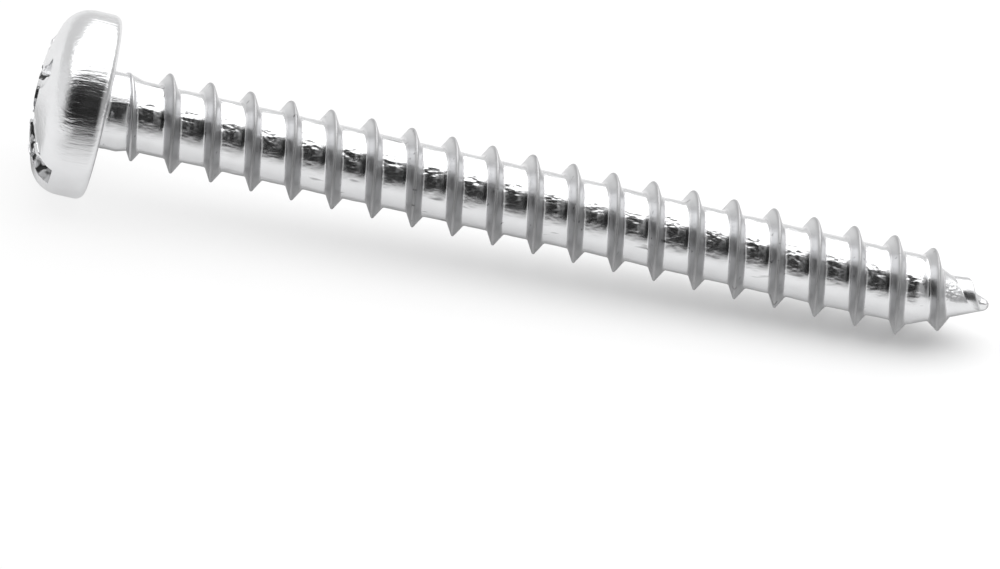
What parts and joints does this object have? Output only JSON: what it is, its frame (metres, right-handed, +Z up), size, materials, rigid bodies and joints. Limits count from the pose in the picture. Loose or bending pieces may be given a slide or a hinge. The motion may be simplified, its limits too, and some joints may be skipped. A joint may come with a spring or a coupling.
{
  "type": "sheet metal screw",
  "caption": "Pan head self-tapping sheet metal screw with a coarse spaced right-hand thread, a gimlet point and a combined slot and cross recess drive, lying at rest.",
  "frame": {"origin": "on the ground, at the middle of the footprint of the screw as it lies", "axes": "+Z up, +X along the screw from its head to its point, +Y across it; the screw's own axis lies in the XZ plane and dips 3.11 degrees towards the point, because the rim of the head and the last full crest of the thread touch the ground"},
  "size_m": [0.0546, 0.0104, 0.0106],
  "materials": {
    "zinc_plated_steel": "bright zinc plate over rolled carbon steel, with small pits and drawn streaks"
  },
  "bodies": {
    "root": {"screw": "zinc_plated_steel"}
  },
  "joints": []
}
